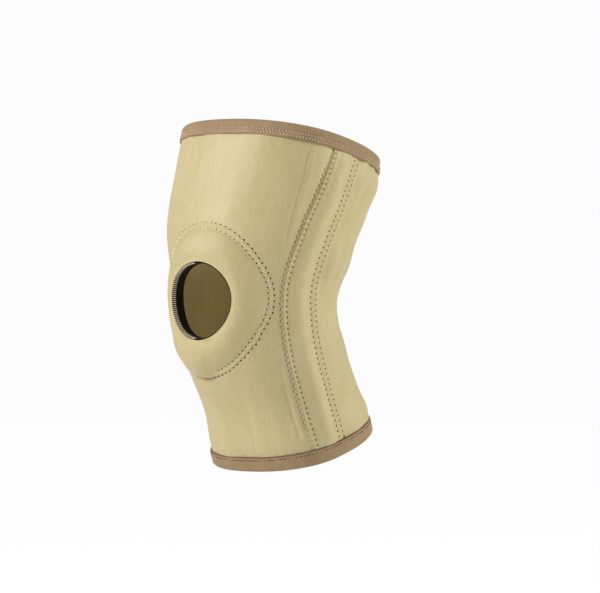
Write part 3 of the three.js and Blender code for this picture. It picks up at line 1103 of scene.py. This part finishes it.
def make_binding(name, node, end, way, stitched):
    """A tape folded over one end, with its cover stitching. On the bottom tape the faces along its
    edge by the cloth take the dark thread colour, a painted shadow line.
    """
    outer = GAP + TAPE
    inner = -WALL - GAP - TAPE
    middle = (outer + inner) / 2
    radius = (outer - inner) / 2
    profile = [(0.18, BINDING_WIDTH + 0.25), (0.75, BINDING_WIDTH + 0.3)]
    for back in np.linspace(BINDING_WIDTH, radius, 20):
        lip = 0.25 * bell(back - BINDING_WIDTH, 0.7)
        ridge = 0.3 * bell(back - 6.2, 0.7) * stitched
        profile.append((outer - lip - ridge - 0.2 * bell(back - 3.6, 1.2), back))
    for bend in np.linspace(0, math.pi, 13)[1:-1]:
        profile.append((middle + radius * math.cos(bend), radius * (1 - math.sin(bend))))
    for back in np.linspace(radius, BINDING_WIDTH, 8):
        profile.append((inner, back))
    profile += [
        (inner + TAPE, BINDING_WIDTH),
        (inner + TAPE, TAPE),
        (0.18, TAPE),
        (0.18, BINDING_WIDTH / 2),
    ]
    angle = all_round(360)
    rows, flats = [], []
    length = 0.0
    previous = None
    for out, back in profile:
        s = np.full_like(angle, end - way * back)
        wave = 0.16 * slow_waves(angle * TAPE_RADIUS, out * 3, 53 + way, 6, 12, 40)
        rows.append(surface(angle, s, out + wave * (out > 0.5)))
        if previous is not None:
            length += math.hypot(out - previous[0], back - previous[1])
        previous = (out, back)
        flats.append(np.stack([angle * TAPE_RADIUS, np.full_like(angle, length)], -1))
    # On the bottom tape the two rows along its edge by the cloth take the dark thread colour: a
    # painted shadow line
    dark = [] if stitched else [1, 2]
    piece = ring_of_profiles(
        name, np.stack(rows), np.stack(flats), [tape_cloth(), tape_shadow()], dark
    )
    dress(piece, "binding_tape", node)


def tape_point(angle, end, way, back, out):
    return surface(angle, np.full_like(angle, end - way * back), out)


def evenly_round(end, way, back, pitch):
    """Angles at even steps round a binding."""
    fine = np.linspace(0, 2 * math.pi, 1441)
    numbers = stitch_numbers(tape_point(fine, end, way, back, TAPE), pitch)
    return np.interp(np.arange(round(numbers[-1])), numbers, fine)


def rise_at(angle, s):
    """The direction straight out of the sleeve."""
    a = surface(angle + 0.01, s) - surface(angle - 0.01, s)
    b = surface(angle, s + 0.5) - surface(angle, s - 0.5)
    return unit(np.cross(a, b))


def make_binding_stitches():
    """Two rows of pale stitches on the top tape and one dark row on the bottom tape."""
    look = bpy.context.scene.sleeve_looks
    pale = plain_material("tape_thread", look.tape_thread_colour, 0.7)
    dark = tape_shadow()
    out = GAP + TAPE
    pieces = []
    end, way = UPPER_LENGTH, 1
    gaps, rises = [], []
    for back, lag in ((BINDING_WIDTH - 1.5, 0.0), (BINDING_WIDTH - 3.8, 0.5)):
        row = evenly_round(end, way, back, TAPE_PITCH)
        row = row + lag * (row[1] - row[0])
        first = tape_point(row, end, way, back, out)
        following = np.roll(first, -1, axis=0)
        rise = rise_at(row, end - way * back + 0 * row)
        pieces.append(sew("dash", first, first + (following - first) * 0.5, rise, pale, 0.32, 0.5))
        gaps.append(first + (following - first) * 0.75)
        rises.append(rise)
    dress(join_pieces("top_tape_stitches", pieces), "binding_tape")
    holes = pierce("top_tape_holes", np.concatenate(gaps), np.concatenate(rises), 0.36, 0.12)
    dress(holes, "binding_tape")

    end, way = -LOWER_LENGTH, -1
    row = evenly_round(end, way, BINDING_WIDTH - 2.2, BOTTOM_PITCH)
    first = tape_point(row, end, way, BINDING_WIDTH - 2.0, out)
    following = np.roll(first, -1, axis=0)
    rise = rise_at(row, end - way * (BINDING_WIDTH - 2.0) + 0 * row)
    bottom = sew(
        "bottom_tape_stitches",
        first + (following - first) * 0.12,
        first + (following - first) * 0.8,
        rise,
        dark,
        0.3,
        0.5,
    )
    dress(bottom, "binding_tape")


def make_seam_stitches():
    """Zigzag stitching over both edges of both strips, with its needle holes."""
    threads, holes = [], []
    material = sleeve_thread()
    half = STRIP_WIDTH / 2
    fine = seam_line()
    draw = np.random.default_rng(17)
    for side in (1, -1):
        for edge_way, row, arch, hole in (
            (-1, PANEL_ROW, 1.3, 0.72), (1, REAR_PANEL_ROW, 0.6, 1.0)
        ):
            numbers = seam_numbers(fine, edge_way)
            count = np.arange(int(numbers[-1]))
            s = np.interp(count, numbers, fine)
            later = np.interp(count + 0.5, numbers, fine)
            p_edge = row + draw.normal(0, 0.15, len(s))
            q_edge = STRIP_ROW + draw.normal(0, 0.12, len(s))
            p_out = seam_relief(0.0, p_edge, row)
            q_across = edge_way * (half - q_edge)
            q_out = strip_height(q_across, later) + pucker(0.0, q_edge - STRIP_ROW)
            p = strip_point(edge_way * (half + p_edge), s, side, p_out)
            q = strip_point(q_across, later, side, np.maximum(q_out, GAP + 0.15))
            angle = angle_after(strip_angle(s), edge_way * half, s)
            rise = rise_at(angle, s) * (side, 1, 1)
            hand = "left" if side > 0 else "right"
            name = f"{hand}_{'front' if edge_way < 0 else 'rear'}"
            threads.append(sew(f"{name}_zig", p, q, rise, material, 0.26, arch))
            threads.append(sew(f"{name}_zag", q[:-1], p[1:], rise[:-1], material, 0.26, arch))
            holes.append(pierce(f"{name}_panel_holes", p, rise, hole, 0.6 * hole))
            holes.append(pierce(f"{name}_strip_holes", q, rise, 0.66, 0.25))
    dress(join_pieces("side_seam_stitches", threads), "edging_thread")
    dress(join_pieces("side_seam_holes", holes), "edging_thread")


def make_ring_stitches():
    """Two staggered rows of stitching round the pad."""
    _, fine, numbers = ring_numbers(0.0)
    count = np.arange(round(numbers[-1]))
    turns = np.interp(count, numbers, fine)
    between = np.interp(count + 0.5, numbers, fine)
    seen = folded_over(turns) < 0.5

    def at(turn, row, out):
        step = pad_point(turn, 1.0, 0.0) - pad_point(turn, 0.95, 0.0)
        reach = np.linalg.norm(step, axis=1) / 0.05
        return pad_point(turn, 1 + row / reach, out + 0 * turn)

    draw = np.random.default_rng(29)
    outer = at(turns, OUTER_ROW + draw.normal(0, 0.2, len(turns)), 0.12)
    inner = at(between, INNER_ROW + draw.normal(0, 0.2, len(turns)), 0.05)
    middle = (OUTER_ROW + INNER_ROW) / 2
    ahead = at(turns, middle, 2.0) - at(turns, middle, -2.0)
    side = at(turns + 0.02, middle, 0.0) - at(turns - 0.02, middle, 0.0)
    across = at(turns, OUTER_ROW, 0.0) - at(turns, INNER_ROW, 0.0)
    rise = np.cross(side, across)
    rise *= np.sign(np.einsum("ij,ij->i", rise, ahead))[:, None]
    rise = unit(rise)
    material = sleeve_thread()
    zigs = sew("ring_zig", outer[seen], inner[seen], rise[seen], material, 0.24, 0.9)
    back = np.roll(outer, -1, axis=0)
    zags = sew("ring_zag", inner[seen], back[seen], rise[seen], material, 0.24, 0.9)
    dress(join_pieces("pad_ring_stitches", [zigs, zags]), "edging_thread")
    # The painted shade of the needle holes is smaller at the upper left, grading to full size round
    # the rest
    light = (turns > math.radians(265)) | (turns < math.radians(8))
    partly = (turns > math.radians(8)) & (turns < math.radians(38))
    holes = []
    for name, chosen, radius in (
        ("light", seen & light & ~partly, 0.36),
        ("partly", seen & partly, 0.56),
        ("full", seen & ~light & ~partly, 0.74),
    ):
        both = np.concatenate([outer[chosen], inner[chosen]])
        rises = np.concatenate([rise[chosen], rise[chosen]])
        holes.append(pierce(f"ring_holes_{name}", both, rises, radius, 0.22))
    dress(join_pieces("pad_ring_holes", holes), "edging_thread")


def make_floor():
    """A pale floor below the held-up sleeve, as light as what lies behind it."""
    look = bpy.context.scene.sleeve_stage
    mesh = bpy.data.meshes.new("floor")
    angle = all_round(96)
    x, y = look.floor_radius * np.cos(angle), look.floor_radius * np.sin(angle)
    ring = np.stack([x, y, np.full_like(x, -look.floor_drop)], 1)
    mesh.from_pydata(ring.tolist(), [], [list(range(len(ring)))])
    floor = linked("floor", mesh)
    material, tree, shader = new_material("floor", 0.95, 0.0)
    shader.inputs["Base Color"].default_value = shaded(look.floor_colour, 1)
    seen = add(tree, "ShaderNodeLightPath").outputs["Is Camera Ray"]
    share = maths(tree, "MULTIPLY", seen, look.floor_glow)
    strength = look.background_strength * FLOOR_GAIN
    inputs = {"Strength": strength, "Color": shaded(look.world_colour, 1)}
    glow = add(tree, "ShaderNodeEmission", inputs)
    inputs = {0: share, 1: shader.outputs[0], 2: glow.outputs[0]}
    both = add(tree, "ShaderNodeMixShader", inputs)
    output = next(node for node in tree.nodes if node.type == "OUTPUT_MATERIAL")
    tree.links.new(both.outputs[0], output.inputs["Surface"])
    mesh.materials.append(material)


def aimed(name, data, place, target):
    """A lamp or camera at a place, looking at a target."""
    made = linked(name, data)
    made.location = place
    made.rotation_euler = (Vector(target) - Vector(place)).to_track_quat("-Z", "Y").to_euler()
    return made


def make_lamp(name, azimuth, elevation, power, colour):
    """A square soft box beside the sleeve, aimed at the middle of its bend."""
    lamp = bpy.data.lights.new(name, "AREA")
    lamp.size = LAMP_SIZE
    lamp.energy = power
    lamp.color = colour
    a, e = math.radians(azimuth), math.radians(elevation)
    toward = (math.sin(a) * math.cos(e), -math.cos(a) * math.cos(e), math.sin(e))
    aimed(name, lamp, Vector(toward) * LAMP_DISTANCE, (0, 0, 0))


def make_camera():
    look = bpy.context.scene.sleeve_stage
    camera = bpy.data.cameras.new("camera")
    camera.lens = look.lens
    camera.sensor_width = 36.0
    camera.clip_end = 100.0
    a = look.azimuth
    back = Vector((math.sin(a), -math.cos(a), 0))
    right = Vector((math.cos(a), math.sin(a), 0))
    aside = right * look.camera_aside + Vector((0, 0, -look.camera_below))
    place = back * look.camera_distance + aside
    bpy.context.scene.camera = aimed("camera", camera, place, aside)


def make_world():
    look = bpy.context.scene.sleeve_stage
    world = bpy.data.worlds.new("studio")
    world.use_nodes = True
    tree = world.node_tree
    background = tree.nodes["Background"]
    background.inputs[0].default_value = shaded(look.world_colour, 1)
    seen = add(tree, "ShaderNodeLightPath").outputs["Is Camera Ray"]
    more = look.background_strength - look.world_strength
    strength = maths(tree, "MULTIPLY_ADD", seen, more, look.world_strength)
    tree.links.new(strength, background.inputs[1])
    bpy.context.scene.world = world
    bpy.context.scene.view_settings.view_transform = "Standard"


def colour_property(name, description, default):
    return bpy.props.FloatVectorProperty(
        name=name, description=description, default=default, subtype="COLOR", min=0, max=1
    )


def number_property(name, description, default, **settings):
    return bpy.props.FloatProperty(name=name, description=description, default=default, **settings)


def length_property(name, description, default):
    return number_property(name, description, default, unit="LENGTH")


def flat_property(name, piece, default):
    return bpy.props.FloatVectorProperty(
        name=name,
        description=f"Width and length of {piece} as cut",
        size=2,
        default=default,
        unit="LENGTH",
    )


class SleeveLooks(bpy.types.PropertyGroup):
    """Colours and cloth of the sleeve."""

    cloth_dark: colour_property("Cloth, dark", "Darker tone of the jersey", (0.54, 0.455, 0.2))
    cloth_light: colour_property(
        "Cloth, light", "Lighter tone of the jersey", (0.67, 0.558, 0.278)
    )
    tape_dark: colour_property("Tape, dark", "Darker tone of the tape", (0.34, 0.23, 0.118))
    tape_light: colour_property("Tape, light", "Lighter tone of the tape", (0.45, 0.312, 0.164))
    thread_colour: colour_property("Thread", "The sleeve's stitching", (0.86, 0.77, 0.5))
    tape_thread_colour: colour_property(
        "Tape thread", "The top tape's stitching", (0.8, 0.66, 0.45)
    )
    # This colour also paints the shadow line along the bottom tape's edge by the cloth
    tape_shadow_colour: colour_property(
        "Dark tape thread", "The bottom tape's stitching", (0.16, 0.1, 0.06)
    )
    knit_depth: number_property("Knit depth", "Depth of the ribs in millimetres", 0.06)
    rib_pitch: number_property("Rib pitch", "Spacing of the ribs in millimetres", 1.1)
    pad_fill: number_property("Pad fill", "How full the kneecap pad is", 0.8)
    front_flat: flat_property("Front panel", "the front panel", (0.155, 0.226))
    back_flat: flat_property("Back panel", "the back panel", (0.18, 0.226))
    strip_flat: flat_property("Side strip", "a side strip", (0.026, 0.21))


class SleeveStage(bpy.types.PropertyGroup):
    """Floor, lights and camera."""

    azimuth: number_property(
        "Azimuth", "Where the camera stands", math.radians(40.9), subtype="ANGLE"
    )
    camera_distance: length_property("Camera distance", "From the sleeve to the camera", 2.5)
    camera_aside: length_property("Camera aside", "How far the camera is to the right", 0.0295)
    camera_below: length_property("Camera below", "How far it is under the bend", 0.0057)
    lens: number_property("Lens", "Focal length in millimetres", 214.3)
    floor_drop: length_property("Floor drop", "From the bend down to the floor", 0.3)
    floor_radius: length_property("Floor radius", "Radius of the floor", 6.0)
    floor_colour: colour_property("Floor", "Colour of the floor", (0.86, 0.86, 0.86))
    world_colour: colour_property("World", "Colour round the stage", (1.0, 1.0, 1.0))
    world_strength: number_property("World strength", "Light from all round the stage", 0.47)
    background_strength: number_property("Background", "How light what is behind looks", 0.97)
    floor_glow: number_property("Floor glow", "How far the floor matches the background", 0.9)


class FrontClothOperator(bpy.types.Operator):
    """Makes the front panel"""

    bl_idname = "sleeve.front_cloth"
    bl_label = "Front cloth"

    def execute(self, context):
        make_front_cloth()
        return {"FINISHED"}


class BackClothOperator(bpy.types.Operator):
    """Makes the back panel"""

    bl_idname = "sleeve.back_cloth"
    bl_label = "Back cloth"

    def execute(self, context):
        make_back_cloth()
        return {"FINISHED"}


class SideStripsOperator(bpy.types.Operator):
    """Makes the strip down each side"""

    bl_idname = "sleeve.side_strips"
    bl_label = "Side strips"

    def execute(self, context):
        make_side_strip(1, "side_strip_cloth_left", "side_strip_left")
        make_side_strip(-1, "side_strip_cloth_right", "side_strip_right")
        return {"FINISHED"}


class KneecapPadOperator(bpy.types.Operator):
    """Makes the padded ring round the opening"""

    bl_idname = "sleeve.kneecap_pad"
    bl_label = "Kneecap pad"

    def execute(self, context):
        make_kneecap_pad()
        return {"FINISHED"}


class KneecapEdgingOperator(bpy.types.Operator):
    """Makes the opening's bound rim and its overcast threads"""

    bl_idname = "sleeve.kneecap_edging"
    bl_label = "Kneecap edging"

    def execute(self, context):
        make_kneecap_edging()
        return {"FINISHED"}


class BindingsOperator(bpy.types.Operator):
    """Makes the tape over each end, and its stitching"""

    bl_idname = "sleeve.bindings"
    bl_label = "Bindings"

    def execute(self, context):
        make_binding("top_tape", "top_binding", UPPER_LENGTH, 1, 1)
        make_binding("bottom_tape", "bottom_binding", -LOWER_LENGTH, -1, 0)
        make_binding_stitches()
        return {"FINISHED"}


class StitchesOperator(bpy.types.Operator):
    """Makes the stitching of the side seams and of the pad"""

    bl_idname = "sleeve.stitches"
    bl_label = "Stitches"

    def execute(self, context):
        make_seam_stitches()
        make_ring_stitches()
        return {"FINISHED"}


class StageOperator(bpy.types.Operator):
    """Makes the floor, the lights and the camera"""

    bl_idname = "sleeve.stage"
    bl_label = "Stage"

    def execute(self, context):
        make_camera()
        make_world()
        make_floor()
        for lamp in LAMPS:
            make_lamp(*lamp)
        return {"FINISHED"}


OPERATORS = [
    StageOperator,
    FrontClothOperator,
    BackClothOperator,
    SideStripsOperator,
    KneecapPadOperator,
    KneecapEdgingOperator,
    BindingsOperator,
    StitchesOperator,
]


class SleevePanel(bpy.types.Panel):
    """Lists the sleeve's pieces and sizes."""

    bl_idname = "VIEW3D_PT_knee_sleeve"
    bl_label = "Knee Sleeve"
    bl_space_type = "VIEW_3D"
    bl_region_type = "UI"
    bl_category = "Knee Sleeve"

    def draw(self, context):
        for group in (context.scene.sleeve_looks, context.scene.sleeve_stage):
            column = self.layout.column()
            for name in type(group).__annotations__:
                column.prop(group, name)
        for operator in OPERATORS:
            self.layout.operator(operator.bl_idname)


CLASSES = [SleeveLooks, SleeveStage, *OPERATORS, SleevePanel]


def register():
    for item in CLASSES:
        bpy.utils.register_class(item)
    bpy.types.Scene.sleeve_looks = bpy.props.PointerProperty(type=SleeveLooks)
    bpy.types.Scene.sleeve_stage = bpy.props.PointerProperty(type=SleeveStage)


def unregister():
    del bpy.types.Scene.sleeve_stage
    del bpy.types.Scene.sleeve_looks
    for item in reversed(CLASSES):
        bpy.utils.unregister_class(item)


def corners(box):
    return [[float(v) for v in corner] for corner in box]


def main():
    register()
    for operator in OPERATORS:
        group, name = operator.bl_idname.split(".")
        getattr(getattr(bpy.ops, group), name)()


if __name__ == "__main__":
    main()
